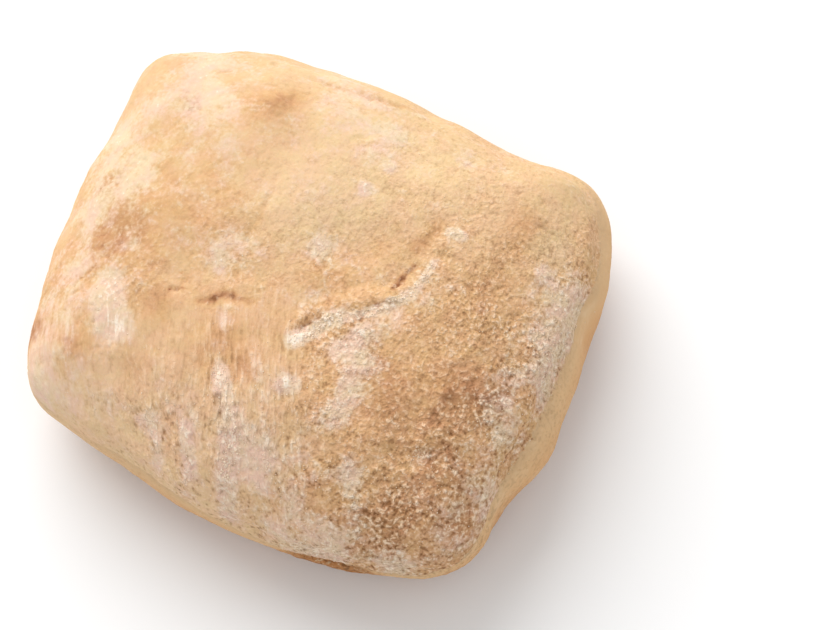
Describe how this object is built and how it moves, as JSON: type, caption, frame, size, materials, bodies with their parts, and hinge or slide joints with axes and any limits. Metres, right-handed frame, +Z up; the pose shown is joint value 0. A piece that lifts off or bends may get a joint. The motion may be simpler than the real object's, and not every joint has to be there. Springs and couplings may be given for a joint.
{
  "type": "ciabatta roll",
  "caption": "Square ciabatta roll with a domed, floured and creased top crust, a pale bulging side and a flat base to rest on.",
  "frame": {"origin": "middle of the flat base, on the surface the roll rests on", "axes": "+X along the longer way across the roll, +Y along the shorter way, +Z up through the floured top"},
  "size_m": [0.116, 0.1006, 0.042],
  "materials": {
    "crust": "matt baked crust dusted with flour"
  },
  "bodies": {
    "root": {"ciabatta_roll": "crust"}
  },
  "joints": []
}
